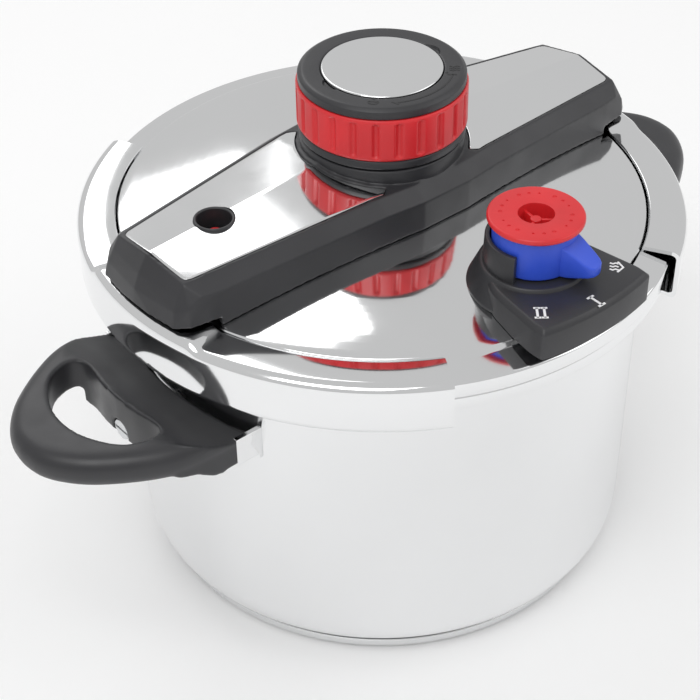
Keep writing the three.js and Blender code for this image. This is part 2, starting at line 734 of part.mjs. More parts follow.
// The red cap: a disc with a cup in the middle, crossed by three spokes.
function selectorCap() {
  const disc = turned([
    [0, 30], [8.6, 30], [8.6, 35.5], [18.3, 35.5], [18.8, 36], [18.8, 37.5], [18.3, 38],
    [7, 38], [7, 31.2], [0, 31.2],
  ], MEDIUM, 0, VALVE_Y);
  const spoke = new THREE.BoxGeometry(7.6, 1.2, 4);
  spoke.translate(3.8, 0, 33);
  let cap = disc.add(rod(2, 30.5, 35.6, 0, VALVE_Y));
  [80, 200, 320].forEach((angle) => {
    const turnedSpoke = spoke.clone().rotateZ(angle * DEGREE).translate(0, VALVE_Y, 0);
    cap = cap.add(solidOf(turnedSpoke));
  });
  return cap;
}

function valveCone() {
  return turned([
    [0, 15.6], [1.4, 15.6], [3, 16.9], [5, 16.9], [5, 21], [2.2, 21], [2.2, 24.5], [0, 24.5],
  ], SMALL, 0, VALVE_Y);
}

// The spring that loads the valve cone.
function valveSpring() {
  const turns = 4;
  const steps = turns * 10;
  const radius = 3.6;
  const points = Array.from({ length: steps + 1 }, (_, i) => {
    const angle = 2 * Math.PI * turns * i / steps;
    return new THREE.Vector3(radius * Math.cos(angle), radius * Math.sin(angle), 21.9 + 7 * i / steps);
  });
  const wire = new THREE.Shape(arc(0, 0, 0.5, 0, 300, 5).map(([x, y]) => new THREE.Vector2(x, y)));
  const geometry = new THREE.ExtrudeGeometry(wire, {
    steps,
    extrudePath: new THREE.CatmullRomCurve3(points),
  });
  geometry.translate(0, VALVE_Y, 0);
  return solidOf(geometry);
}

// ---- Assembly ----

const canner = new THREE.Group();
piece(canner, 'pot_body', potBody(), polished());
piece(canner, 'base_core', baseCore(), brushed());
piece(canner, 'base_cap', baseCap(), brushed());

const upper = new THREE.Group();
upper.position.z = RIM;
canner.add(upper);

const SIDES = [['left', 0], ['right', Math.PI]];
SIDES.forEach(([side, turn]) => {
  piece(upper, `handle_${side}`, sideHandle(), black(), turn);
  piece(upper, `handle_bracket_${side}`, handleBracket(), polished(), turn);
  piece(upper, `handle_screw_${side}`, handleScrew(), brushed(), turn);
});

piece(upper, 'lid_shell', lidShell(), polished());
piece(upper, 'gasket', gasketRing(), silicone());
piece(upper, 'lid_stud', lidStud(), brushed());
piece(upper, 'stud_nut', studNut(), brushed());
piece(upper, 'knob_clip', knobClip(), brushed());
piece(upper, 'bridge_channel', bridgeChannel(), brushed());
piece(upper, 'bridge_cover', bridgeCover(), black());

SIDES.forEach(([side, turn]) => {
  piece(upper, `trim_${side}`, trimPlate(side === 'left'), polished(), turn);
  piece(upper, `bridge_screw_${side}`, bridgeScrew(), brushed(), turn + Math.PI);
  piece(upper, `bridge_spacer_${side}`, bridgeSpacer(), brushed(), turn + Math.PI);
  piece(upper, `bridge_nut_${side}`, bridgeNut(), brushed(), turn + Math.PI);
  piece(upper, `jaw_${side}`, jaw(), polished(), turn + Math.PI);
  piece(upper, `slider_${side}`, slider(), brushed(), turn + Math.PI);
  piece(upper, `cam_pin_${side}`, camPin(), brushed(), turn + Math.PI);
  piece(upper, `jaw_rivet_a_${side}`, jawRivet(9), brushed(), turn + Math.PI);
  piece(upper, `jaw_rivet_b_${side}`, jawRivet(-9), brushed(), turn + Math.PI);
});

piece(upper, 'indicator_bush', indicatorBush(), silicone());
piece(upper, 'indicator_housing', indicatorHousing(), brushed());
piece(upper, 'indicator_pin', indicatorPin(), red());
piece(upper, 'indicator_seal', indicatorSeal(), silicone());
piece(upper, 'safety_valve', safetyValve(), brass());
piece(upper, 'safety_nut', safetyNut(), brass());

piece(upper, 'knob_hub', knobHub(), black());
piece(upper, 'knob_grip', knobGrip(), red());
piece(upper, 'knob_top_ring', knobTopRing(), black());
piece(upper, 'knob_disc', knobDisc(), polished());
piece(upper, 'cam_disc', camDisc(), brushed());

piece(upper, 'valve_housing', valveHousing(), black());
piece(upper, 'valve_body', valveBody(), brass());
piece(upper, 'valve_nut', valveNut(), brass());
piece(upper, 'valve_filter', valveFilter(), brushed());
piece(upper, 'valve_screw_left', valveScrew(-15), brushed());
piece(upper, 'valve_screw_right', valveScrew(15), brushed());
piece(upper, 'selector_collar', selectorCollar(), blue());
piece(upper, 'selector_cap', selectorCap(), red());
piece(upper, 'valve_cone', valveCone(), brass());
piece(upper, 'valve_spring', valveSpring(), brushed());

export default canner;
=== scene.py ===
"""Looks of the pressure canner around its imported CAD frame. Metres in Blender, millimetres in here."""

import math

import bmesh
import bpy
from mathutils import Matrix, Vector


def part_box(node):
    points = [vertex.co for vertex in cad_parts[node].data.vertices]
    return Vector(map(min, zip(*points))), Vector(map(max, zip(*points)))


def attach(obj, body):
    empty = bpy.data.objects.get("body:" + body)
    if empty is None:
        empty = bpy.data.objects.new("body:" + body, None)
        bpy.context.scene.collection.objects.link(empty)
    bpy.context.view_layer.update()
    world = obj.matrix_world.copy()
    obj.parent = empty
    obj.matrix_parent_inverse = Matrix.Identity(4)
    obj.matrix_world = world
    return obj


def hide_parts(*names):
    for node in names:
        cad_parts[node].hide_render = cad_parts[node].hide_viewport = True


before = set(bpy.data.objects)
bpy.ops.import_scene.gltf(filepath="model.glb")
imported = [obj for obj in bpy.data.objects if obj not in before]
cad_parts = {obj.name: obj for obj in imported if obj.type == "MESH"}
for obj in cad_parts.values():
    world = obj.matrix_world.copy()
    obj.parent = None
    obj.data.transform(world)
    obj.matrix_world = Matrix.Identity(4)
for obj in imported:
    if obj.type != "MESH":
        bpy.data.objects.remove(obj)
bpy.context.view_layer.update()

MM = 0.001
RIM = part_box("lid_shell")[0].z / MM + 7.9      # height of the edge between the jaws' shoulder and skirt
VALVE_Y = -88.5                                # the pressure selector's axis
INDICATOR_X = -85.7                            # the pressure indicator's axis
DOME_RADIUS = 110.3
SHEET = 1.2                                    # thickness of the pot's and the lid's steel
JAW_RADIUS = 127.6
JAW_TRAVEL = 10
JAW_HALF_ANGLE = 61
SIDES = (("left", -1), ("right", 1))


# ---- Mesh tools ----

def new_object(name, points, faces, height=RIM, sharp=30):
    """An object from points in millimetres, raised by height, with smooth shading up to an angle."""
    mesh = bpy.data.meshes.new(name)
    mesh.from_pydata([(x * MM, y * MM, (z + height) * MM) for x, y, z in points], [], faces)
    mesh.validate()
    obj = bpy.data.objects.new(name, mesh)
    bpy.context.scene.collection.objects.link(obj)
    return finish_mesh(obj, sharp)


def finish_mesh(obj, sharp=30, outward=True):
    """Merges doubles, turns the faces outwards and marks sharp edges."""
    work = bmesh.new()
    work.from_mesh(obj.data)
    bmesh.ops.remove_doubles(work, verts=work.verts, dist=1e-6)
    if outward:
        bmesh.ops.recalc_face_normals(work, faces=work.faces)
    work.to_mesh(obj.data)
    work.free()
    obj.data.shade_smooth()
    obj.data.set_sharp_from_angle(angle=math.radians(sharp))
    return obj


def baked(obj):
    """Applies an object's modifiers to its mesh."""
    bpy.context.view_layer.update()
    graph = bpy.context.evaluated_depsgraph_get()
    mesh = bpy.data.meshes.new_from_object(obj.evaluated_get(graph))
    obj.modifiers.clear()
    obj.data = mesh
    return obj


def fillet(points, radius, closed=True, steps=3):
    """Rounds the corners of an outline."""
    result = []
    count = len(points)
    for i, corner in enumerate(points):
        if not closed and i in (0, count - 1):
            result.append(corner)
            continue
        before, here, after = Vector(points[i - 1]), Vector(corner), Vector(points[(i + 1) % count])
        back, ahead = before - here, after - here
        if back.length < 1e-6 or ahead.length < 1e-6:
            continue
        reach = min(radius, back.length * 0.45, ahead.length * 0.45)
        start, end = here + back.normalized() * reach, here + ahead.normalized() * reach
        for k in range(steps + 1):
            t = k / steps
            point = start * (1 - t) ** 2 + here * 2 * t * (1 - t) + end * t * t
            result.append(tuple(point))
    return result


def turned(name, outline, centre=(0, 0), height=RIM, radius=0.4, segments=192, sharp=40):
    """A piece turned about a vertical axis. The outline of (radius, height) points starts and ends on the
    axis, or closes on itself."""
    on_axis = outline[0][0] == 0 and outline[-1][0] == 0
    profile = fillet(outline, radius, closed=not on_axis)
    points = []
    faces = []
    for k in range(segments):
        angle = 2 * math.pi * k / segments
        for r, z in profile:
            points.append((centre[0] + r * math.cos(angle), centre[1] + r * math.sin(angle), z))
    rows = len(profile)
    last = rows - 1 if on_axis else rows
    for k in range(segments):
        here, there = k * rows, (k + 1) % segments * rows
        for i in range(last):
            j = (i + 1) % rows
            faces.append((here + i, there + i, there + j, here + j))
    return new_object(name, points, faces, height, sharp)


def lofted(name, sections, height=RIM, sharp=35, ring=False, capped=True):
    """A piece through rings of points."""
    rows = len(sections[0])
    points = [point for section in sections for point in section]
    faces = []
    spans = len(sections) if ring else len(sections) - 1
    for s in range(spans):
        here, there = s * rows, (s + 1) % len(sections) * rows
        for i in range(rows):
            j = (i + 1) % rows
            faces.append((here + i, there + i, there + j, here + j))
    if capped and not ring:
        faces.append(tuple(range(rows)))
        faces.append(tuple(reversed(range((len(sections) - 1) * rows, len(sections) * rows))))
    return new_object(name, points, faces, height, sharp)


def boolean(obj, other, operation="DIFFERENCE"):
    """Cuts obj with another object, which is used up."""
    modifier = obj.modifiers.new("cut", "BOOLEAN")
    modifier.operation = operation
    modifier.solver = "EXACT"
    modifier.object = other
    baked(obj)
    bpy.data.objects.remove(other)
    return finish_mesh(obj, 35, outward=False)


def copied(node, name):
    """A new object with the shape of a CAD node."""
    obj = bpy.data.objects.new(name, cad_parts[node].data.copy())
    obj.data.materials.clear()
    bpy.context.scene.collection.objects.link(obj)
    return finish_mesh(obj, 30)


def soft(obj, voxel, rounds):
    """Makes one skin of an object's solids and rounds its edges, as moulded plastic has them."""
    remesh = obj.modifiers.new("remesh", "REMESH")
    remesh.mode = "VOXEL"
    remesh.voxel_size = voxel * MM
    if rounds:
        smooth = obj.modifiers.new("smooth", "SMOOTH")
        smooth.factor = 0.5
        smooth.iterations = rounds
    baked(obj)
    obj.data.shade_smooth()
    return obj


def bevelled(obj, width, segments=3, angle=25):
    """Rounds an object's edges."""
    modifier = obj.modifiers.new("bevel", "BEVEL")
    modifier.width = width * MM
    modifier.segments = segments
    modifier.limit_method = "ANGLE"
    modifier.angle_limit = math.radians(angle)
    return finish_mesh(baked(obj), 35, outward=False)


def merged(name, pieces):
    """Joins several objects into one."""
    work = bmesh.new()
    for obj in pieces:
        work.from_mesh(obj.data)
    mesh = bpy.data.meshes.new(name)
    work.to_mesh(mesh)
    work.free()
    for obj in pieces:
        bpy.data.objects.remove(obj)
    obj = bpy.data.objects.new(name, mesh)
    bpy.context.scene.collection.objects.link(obj)
    obj.data.shade_smooth()
    obj.data.set_sharp_from_angle(angle=math.radians(35))
    return obj


def arc(cx, cy, radius, start, end, steps):
    """Points on an arc, angles in degrees."""
    result = []
    for k in range(steps + 1):
        angle = math.radians(start + (end - start) * k / steps)
        result.append((cx + radius * math.cos(angle), cy + radius * math.sin(angle)))
    return result


def prism(name, outline, low, high, height=RIM, sharp=35):
    """An upright plate from a plan outline."""
    return lofted(name, [[(x, y, z) for x, y in outline] for z in (low, high)], height, sharp)


def ribbon(points, width, low, high):
    """A flat strip along a line in plan."""
    left, right = [], []
    for i, point in enumerate(points):
        before, after = Vector(points[max(i - 1, 0)]), Vector(points[min(i + 1, len(points) - 1)])
        along = (after - before).normalized() * width / 2
        left.append((point[0] - along.y, point[1] + along.x))
        right.append((point[0] + along.y, point[1] - along.x))
    return prism("strip", left + right[::-1], low, high)


def symbol(name, lines, radius, angle, centre, width, low, high):
    """Strips that form a symbol, upright towards the centre of the circle it lies on."""
    turn = math.radians(angle)
    up = Vector((-math.cos(turn), -math.sin(turn)))
    across = Vector((up.y, -up.x))
    origin = Vector(centre) - up * radius
    strips = []
    for line in lines:
        placed_line = [tuple(origin + across * s + up * t) for s, t in line]
        strips.append(ribbon(placed_line, width, low, high))
    return merged(name, strips)


# ---- Materials ----

def base_material(name, colour, roughness, metallic):
    """A material with its nodes, its links and its main shader."""
    material = bpy.data.materials.new(name)
    material.use_nodes = True
    nodes = material.node_tree.nodes
    shader = nodes["Principled BSDF"]
    shader.inputs["Base Color"].default_value = (*colour, 1)
    shader.inputs["Roughness"].default_value = roughness
    shader.inputs["Metallic"].default_value = metallic
    material.diffuse_color = (*colour, 1)
    return material, nodes, material.node_tree.links, shader


def noise(nodes, links, coordinates, scale, detail=4.0, stretch=(1, 1, 1)):
    """A noise texture in object space."""
    mapping = nodes.new("ShaderNodeMapping")
    mapping.inputs["Scale"].default_value = stretch
    texture = nodes.new("ShaderNodeTexNoise")
    texture.inputs["Scale"].default_value = scale
    texture.inputs["Detail"].default_value = detail
    links.new(coordinates.outputs["Object"], mapping.inputs["Vector"])
    links.new(mapping.outputs["Vector"], texture.inputs["Vector"])
    return texture


def as_colour(value):
    """A number or a colour as red, green, blue and alpha."""
    return (*value, 1) if isinstance(value, tuple) else (value, value, value, 1)


def ramp(nodes, links, source, low, high, start=0.3, end=0.7):
    """A colour ramp between two values or colours."""
    node = nodes.new("ShaderNodeValToRGB")
    node.color_ramp.elements[0].position = start
    node.color_ramp.elements[1].position = end
    node.color_ramp.elements[0].color = as_colour(low)
    node.color_ramp.elements[1].color = as_colour(high)
    links.new(source, node.inputs["Fac"])
    return node.outputs["Color"]


def add_bump(nodes, links, shader, source, strength, distance):
    """A bump on the shader's surface from a texture's value."""
    bump = nodes.new("ShaderNodeBump")
    bump.inputs["Strength"].default_value = strength
    bump.inputs["Distance"].default_value = distance
    links.new(source, bump.inputs["Height"])
    links.new(bump.outputs["Normal"], shader.inputs["Normal"])


def plastic(name, colour, roughness=0.42, grain=1500.0, bump=0.12, edge_highlight=1.35):
    """Moulded plastic: a fine grain, slight colour drift and a painted highlight that brightens the edges."""
    material, nodes, links, shader = base_material(name, colour, roughness, 0)
    coordinates = nodes.new("ShaderNodeTexCoord")
    drift = noise(nodes, links, coordinates, 35)
    darker = tuple(c * 0.9 for c in colour)
    lighter = tuple(min(1, c * 1.12) for c in colour)
    tone = ramp(nodes, links, drift.outputs["Fac"], darker, lighter)
    geometry = nodes.new("ShaderNodeNewGeometry")
    # Painted highlight: the pointiness ramp mixes a brighter copy of the colour onto the sharp edges.
    edge = ramp(nodes, links, geometry.outputs["Pointiness"], 0.0, 0.5, 0.53, 0.62)
    mix = nodes.new("ShaderNodeMix")
    mix.data_type = "RGBA"
    # The brighter copy is the painted edge highlight's colour.
    mix.inputs["B"].default_value = (*[min(1, c * edge_highlight + 0.006) for c in colour], 1)
    links.new(edge, mix.inputs["Factor"])
    links.new(tone, mix.inputs["A"])
    links.new(mix.outputs["Result"], shader.inputs["Base Color"])
    smudge = noise(nodes, links, coordinates, 60, 3)
    links.new(ramp(nodes, links, smudge.outputs["Fac"], roughness - 0.05, roughness + 0.07),
              shader.inputs["Roughness"])
    fine = noise(nodes, links, coordinates, grain, 2)
    add_bump(nodes, links, shader, fine.outputs["Fac"], bump, 0.0002)
    shader.inputs["Specular IOR Level"].default_value = 0.5
    return material


def steel(name, colour=(0.86, 0.865, 0.87), low=0.05, high=0.11, stretch=(1, 1, 1), scale=240.0, bump=0.02):
    """Polished or brushed steel: faint wipe marks in the gloss and a very fine bump."""
    material, nodes, links, shader = base_material(name, colour, low, 1)
    coordinates = nodes.new("ShaderNodeTexCoord")
    cloud = noise(nodes, links, coordinates, 9, 5)
    darker = tuple(c * 0.97 for c in colour)
    links.new(ramp(nodes, links, cloud.outputs["Fac"], darker, colour), shader.inputs["Base Color"])
    wipe = noise(nodes, links, coordinates, 26, 8)
    links.new(ramp(nodes, links, wipe.outputs["Fac"], low, high), shader.inputs["Roughness"])
    fine = noise(nodes, links, coordinates, scale, 3, stretch)
    add_bump(nodes, links, shader, fine.outputs["Fac"], bump, 0.0001)
    return material


def rubber(name, colour):
    """Matt silicone with a soft colour drift and a fine grain."""
    material, nodes, links, shader = base_material(name, colour, 0.65, 0)
    coordinates = nodes.new("ShaderNodeTexCoord")
    cloud = noise(nodes, links, coordinates, 80)
    links.new(ramp(nodes, links, cloud.outputs["Fac"], tuple(c * 0.85 for c in colour), colour),
              shader.inputs["Base Color"])
    fine = noise(nodes, links, coordinates, 900)
    add_bump(nodes, links, shader, fine.outputs["Fac"], 0.15, 0.0002)
    return material


POLISHED = steel("polished_steel")
WALL = steel("pot_wall_steel", low=0.12, high=0.2, stretch=(1, 1, 40), scale=60, bump=0.015)
BRUSHED = steel("base_steel", (0.78, 0.785, 0.79), 0.2, 0.32, (1, 1, 30), 150, 0.05)
INNER = steel("inner_steel", (0.7, 0.71, 0.72), 0.25, 0.4, (1, 1, 1), 400, 0.08)
ALUMINIUM = steel("base_aluminium", (0.8, 0.8, 0.81), 0.3, 0.42, (1, 1, 1), 300, 0.1)
BRASS = steel("brass", (0.72, 0.58, 0.3), 0.22, 0.34, (1, 1, 1), 300, 0.05)
# A plastic's edge factor sets how bright its painted edge highlight is.
BLACK = plastic("black_plastic", (0.028, 0.028, 0.031), 0.38)
BLACK_GLOSS = plastic("black_print", (0.012, 0.012, 0.013), 0.3, bump=0.03)
RED = plastic("red_plastic", (0.66, 0.022, 0.028), 0.36, edge_highlight=1.1)
BLUE = plastic("blue_plastic", (0.03, 0.085, 0.62), 0.36, edge_highlight=1.1)
WHITE = plastic("white_print", (0.85, 0.85, 0.84), 0.5, bump=0.05, edge_highlight=1.0)
SILICONE = rubber("silicone", (0.36, 0.365, 0.36))


def placed(obj, body, material, *nodes):
    """Gives a finished piece its material and body, and hides the CAD nodes that it stands for."""
    obj.data.materials.clear()
    obj.data.materials.append(material)
    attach(obj, body)
    if nodes:
        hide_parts(*nodes)
    return obj


# ---- Pot ----

def build_pot():
    """The pot's drawn shell with its rolled flange, and the steel cup under it."""
    flange = -8.3
    placed(turned("pot_shell", [
        (0, 7), (103.6, 7), (105.2, 8.2), (106, 9), (108.6, 11.6), (110.3, 15), (111.1, 20),
        (111.1, RIM + flange - 5.7), (112.5, RIM + flange - 3), (114.6, RIM + flange - SHEET),
        (121.2, RIM + flange - SHEET), (121.2, RIM + flange - 6.1), (122.4, RIM + flange - 6.1),
        (122.4, RIM + flange - 1), (121.4, RIM + flange), (114, RIM + flange),
        (111.6, RIM + flange - 2.3), (110, RIM + flange - 5.5), (110, 20.2), (109.2, 15.5),
        (107.7, 12.4), (105.3, 10), (103, 8.6), (100, 8.2), (0, 8.2),
    ], height=0, radius=1.2, segments=256), "pot", WALL, "pot_body")
    placed(turned("base_cup", [
        (0, 0), (101.8, 0), (103.6, 1.2), (104.8, 3.2), (105.3, 6.7), (104.1, 6.7),
        (103.6, 3.4), (102.7, 1.8), (101.2, 0.9), (0, 0.9),
    ], height=0, radius=0.5, segments=256), "pot", BRUSHED, "base_cap")


def smooth_line(points, per_span=10):
    """A smooth line through points."""
    result = []
    count = len(points)
    for i in range(count - 1):
        p0, p1 = Vector(points[max(i - 1, 0)]), Vector(points[i])
        p2, p3 = Vector(points[i + 1]), Vector(points[min(i + 2, count - 1)])
        for k in range(per_span):
            t = k / per_span
            point = 0.5 * (2 * p1 + (p2 - p0) * t + (2 * p0 - 5 * p1 + 4 * p2 - p3) * t * t
                           + (3 * p1 - p0 - 3 * p2 + p3) * t * t * t)
            result.append(tuple(point))
    result.append(tuple(points[-1]))
    return result


def mirrored(half):
    """A line in plan and its mirror image across X, in one run."""
    return half + [(x, -y) for x, y in reversed(half) if abs(y) > 1e-6]


def inset_line(points, distance):
    """An outline moved inwards, for points that run anticlockwise."""
    result = []
    for i, point in enumerate(points):
        along = (Vector(points[(i + 1) % len(points)]) - Vector(points[i - 1])).normalized()
        result.append((point[0] - along.y * distance, point[1] + along.x * distance))
    return result


def side_prism(name, outline, half_width):
    """A plate drawn from its side, as (x, z) points, centred on the handle's middle."""
    return lofted(name, [[(x, y, z) for x, z in outline] for y in (-half_width, half_width)])


def box(name, low, high):
    """A block between two corners."""
    corners = [(low[0], low[1]), (high[0], low[1]), (high[0], high[1]), (low[0], high[1])]
    return prism(name, corners, low[2], high[2])


def left_handle():
    """The left handle's grip: a soft-edged loop whose top falls away towards the pot."""
    half = smooth_line([(-124, 45.4), (-139, 43.6), (-152.5, 37.5), (-167, 27.5), (-175.6, 18.2), (-180.6, 9),
                        (-182, 0)])
    outline = mirrored([(-98, 45.4), (-111, 45.4)] + half)
    # The loop's rounded section, as (height, inset) pairs.
    levels = [(-46, 5), (-45.4, 3.3), (-44.2, 1.8), (-42.4, 0.7), (-40.2, 0.1), (-37.4, 0), (-35.4, 0.5),
              (-33.6, 1.7), (-32.4, 3.4), (-31.7, 5.6), (-31.4, 8.2)]
    grip = lofted("grip", [[(x, y, z) for x, y in inset_line(outline, inset)] for z, inset in levels])

    # The neck that reaches down to the bracket, deeper in its middle.
    lower = prism("lower", inset_line(outline, 0.6), -56, -40)
    side = side_prism("side", [(-99, -52.4), (-117.6, -52.4), (-120, -53.4), (-124.7, -52.2), (-131.6, -47.6),
                               (-140, -45.6), (-140, -40), (-99, -40)], 60)
    boolean(lower, side, "INTERSECT")
    middle = side_prism("middle", [(-99, -56), (-134, -56), (-138.6, -52), (-138.6, -40), (-99, -40)], 28)
    grip = soft(merged("grip", [grip, lower, middle]), 0.9, 0)

    # The sloping top, the finger hole, and the room for the pot's wall, the bracket's wings and the screw.
    slope = smooth_line([(-144, -31.2), (-137, -32.0), (-130, -34.2), (-121, -38), (-110, -41.6),
                         (-96, -44.6)], 6)
    boolean(grip, side_prism("slope", slope + [(-96, 0), (-144, 0)], 70))
    hole = smooth_line([(-138.4, 0), (-137.6, 11), (-135.6, 22), (-136.6, 27.4), (-141, 29.6), (-147, 28.4),
                        (-152.6, 25), (-157.6, 18), (-161.4, 9), (-162.6, 0)], 8)
    boolean(grip, prism("hole", mirrored(hole)[:-1], -60, -20))
    wall = turned("wall", [(0, -70), (113.6, -70), (113.6, 0), (0, 0)], radius=0.01)
    boolean(grip, wall)
    for y in (42.9, -60):
        boolean(grip, box("wing_gap", (-112.6, y, -60), (-90, y + 17.1, -20)))
    turns = [2 * math.pi * k / 32 for k in range(32)]
    for radius, end in ((2.9, -100), (5, -134.8)):
        bore = [[(x, radius * math.cos(a), -50 + radius * math.sin(a)) for a in turns] for x in (-150, end)]
        boolean(grip, lofted("bore", bore))
    return soft(grip, 0.75, 7)


def half_turn(obj, name):
    """A copy of a finished piece, turned half round the pot's axis."""
    other = bpy.data.objects.new(name, obj.data.copy())
    for vertex in other.data.vertices:
        vertex.co.x, vertex.co.y = -vertex.co.x, -vertex.co.y
    bpy.context.scene.collection.objects.link(other)
    return other


def build_handles():
    """Both grips with their steel brackets."""
    left = left_handle()
    left.name = "side_handle_left"
    right = half_turn(left, "side_handle_right")
    for side, grip in (("left", left), ("right", right)):
        placed(grip, "pot", BLACK, f"handle_{side}")
        bracket = bevelled(copied(f"handle_bracket_{side}", f"handle_plate_{side}"), 0.3, 2)
        placed(bracket, "pot", POLISHED, f"handle_bracket_{side}")


# ---- Lid ----

def dome_height(radius):
    """Height of the lid's outer face at a distance from its axis."""
    return 11.3 - 8.8 * (radius / DOME_RADIUS) ** 2


def build_lid():
    """The lid's dome, step, flange and skirt."""
    radii = [DOME_RADIUS * k / 28 for k in range(29)]
    top = [(r, dome_height(r)) for r in radii]
    under = [(r, dome_height(r) - SHEET) for r in radii[:-1]]
    outline = under + [(109.8, 1.3), (110.6, -0.5), (112.2, -1), (122.2, -2.4), (122.2, -7.9), (123.4, -7.9),
                       (123.4, -1.8), (122.6, -1), (112, 0.35), (111.3, 0.5)] + top[::-1]
    placed(turned("lid_dome", outline, radius=0.35, segments=256, sharp=60), "lid", POLISHED, "lid_shell")


# ---- Clamp jaws ----

def smoothstep(t):
    """A soft step from 0 to 1."""
    t = min(1, max(0, t))
    return t * t * (3 - 2 * t)


def jaw_section(y):
    """The jaw's section at a distance along it: sheet, rounded shoulder, skirt and hook."""
    rise = 2.0 * smoothstep((36.3 - abs(y)) / 6.6)
    # With the jaw open the hook's edge lies on a circle about the pot's axis, just clear of the flange.
    clear_radius = 123
    sine = y / JAW_RADIUS
    hook = math.sqrt(clear_radius ** 2 - (JAW_TRAVEL * sine) ** 2) - JAW_TRAVEL * math.sqrt(1 - sine ** 2)
    top = 2.6 + rise
    return fillet([
        (111.7, top), (124.3, top), (126.7, 1.5 + 0.75 * rise), (JAW_RADIUS, 0), (JAW_RADIUS, -17.8),
        (126.4, -19.5),
        (125, -19.5), (hook, -17.6), (hook, -16.4), (124.6, -17.6), (125.9, -16.8), (125.9, -0.2),
        (124.2, 0.9 + rise), (111.7, 0.9 + rise),
    ], 1.1)


def build_jaws():
    """Both clamp jaws, each swept round the rim."""
    steps = 240
    for side, sign in SIDES:
        sections = []
        for k in range(steps + 1):
            angle = math.radians(-JAW_HALF_ANGLE + 2 * JAW_HALF_ANGLE * k / steps)
            cos, sin = math.cos(angle), math.sin(angle)
            sections.append([(sign * r * cos, r * sin, z) for r, z in jaw_section(JAW_RADIUS * sin)])
        jaw = lofted(f"clamp_jaw_{side}", sections, sharp=38)
        placed(jaw, f"jaw_{side}", POLISHED, f"jaw_{side}")


# ---- Bridge ----

def trim_width(distance):
    """Half the width of the bright plates at a distance from the knob's axis."""
    return 30.1 - 0.1165 * (max(distance, 12) - 30)


def roof_height(x, y):
    """Height of the bridge's roof, which is ridged along its middle and falls towards its ends."""
    distance = abs(x)
    edge = 23.7 + 0.062 * (110 - max(distance, 30))
    return edge + 3.3 * (1 - abs(y) / trim_width(max(distance, 30)))


def trim_plate(sign, name):
    """A bright plate that follows the bridge's roof, hollowed round the knob."""
    across = 48
    along = 64
    hollow = 36.0
    nearest = 22.6
    corner_start = 26
    far_end = 116
    points = []
    for j in range(across + 1):
        v = -1 + 2 * j / across
        start = hollow
        for _ in range(20):
            y = v * trim_width(start)
            start = 0.5 * start + 0.5 * math.sqrt(max(hollow ** 2 - y * y, nearest ** 2))
        if abs(v) > 0.92:
            start = nearest + (corner_start - nearest) * (abs(v) - 0.92) / 0.08
        end = far_end - 1.6 * abs(v) ** 1.2
        if abs(v) > 0.88:
            corner = (abs(v) - 0.88) / 0.12
            end -= 2.6 * (1 - math.sqrt(1 - corner * corner))
        for i in range(along + 1):
            x = start + (end - start) * i / along
            y = v * trim_width(x)
            points.append((sign * x, y, roof_height(x, y)))
    row = along + 1
    faces = [(j * row + i, j * row + i + 1, (j + 1) * row + i + 1, (j + 1) * row + i)
             for j in range(across) for i in range(along)]
    plate = new_object(name, points, faces, sharp=50)
    if plate.data.polygons[0].normal.z < 0:
        plate.data.flip_normals()
    solid = plate.modifiers.new("solid", "SOLIDIFY")
    solid.thickness = 1.0 * MM
    solid.offset = -1
    return bevelled(plate, 0.25, 2, 60)


def build_bridge():
    """The black cover, the knob's socket, the two bright plates and the indicator in one of them."""
    cover = soft(copied("bridge_cover", "bridge_shell"), 0.55, 3)
    placed(cover, "lid", BLACK, "bridge_cover")
    placed(turned("knob_socket", [
        (13.2, 27.6), (33.9, 27.6), (33.9, 34.4), (33.3, 35), (30.9, 35), (30.9, 31.3), (13.2, 31.3),
    ], radius=0.4, sharp=50), "lid", BLACK)
    for side, sign in SIDES:
        plate = trim_plate(sign, f"trim_plate_{side}")
        if side == "left":
            hole = turned("hole", [(0, 10), (8.3, 10), (8.3, 45), (0, 45)], (INDICATOR_X, 0), radius=0.01)
            boolean(plate, hole)
        placed(plate, "lid", POLISHED, f"trim_{side}")
    build_indicator()


def build_indicator():
    """The black ring in the bright plate, and the red button that rises in it."""
    centre = (INDICATOR_X, 0)
    placed(turned("indicator_grommet", [
        (6.9, 14), (8.2, 14), (8.2, 28.2), (7.9, 28.55), (7.3, 28.55), (6.9, 28.2),
    ], centre, radius=0.2, segments=96), "lid", BLACK, "indicator_bush")
    dome = [(3.4 * math.cos(a), 21.2 + 1.9 * math.sin(a)) for a in [math.pi / 2 * k / 8 for k in range(9)]]
    placed(turned("indicator_button", [
        (0, -2.2), (1.8, -2.2), (1.8, 19.2), (3.4, 19.2)] + dome[:-1] + [(0, 23.1)],
        centre, radius=0.15, segments=64, sharp=50), "indicator", RED, "indicator_pin")


# ---- Knob ----

def grip_ring():
    """The red ring, with upright slots between soft ribs."""
    slots = 24
    per_slot = 16
    radius = 34.8
    bottom, top = 40, 58.2
    slot_depth = 1.25
    levels = [40, 40.25, 40.8, 41.6, 42.1, 42.5, 49, 55.7, 56.1, 56.6, 57.4, 57.95, 58.2]
    sections = []
    for k in range(slots * per_slot):
        angle = 2 * math.pi * k / (slots * per_slot)
        place = (k % per_slot) / per_slot
        away = min(place, 1 - place) * 2 * math.pi / slots * radius
        groove = 1 / (1 + math.exp((away - 1.15) / 0.16))
        outer = []
        for z in levels:
            edge = smoothstep(min(z - bottom - 1.3, top - 1.3 - z))
            rim = 0.55 * max(0, 1 - min(z - bottom, top - z) / 0.7)
            outer.append((radius - rim - slot_depth * groove * edge, z))
        outline = outer + [(31.5, top), (31.5, bottom)]
        sections.append([(r * math.cos(angle), r * math.sin(angle), z) for r, z in outline])
    return lofted("grip_ring", sections, ring=True, sharp=50)


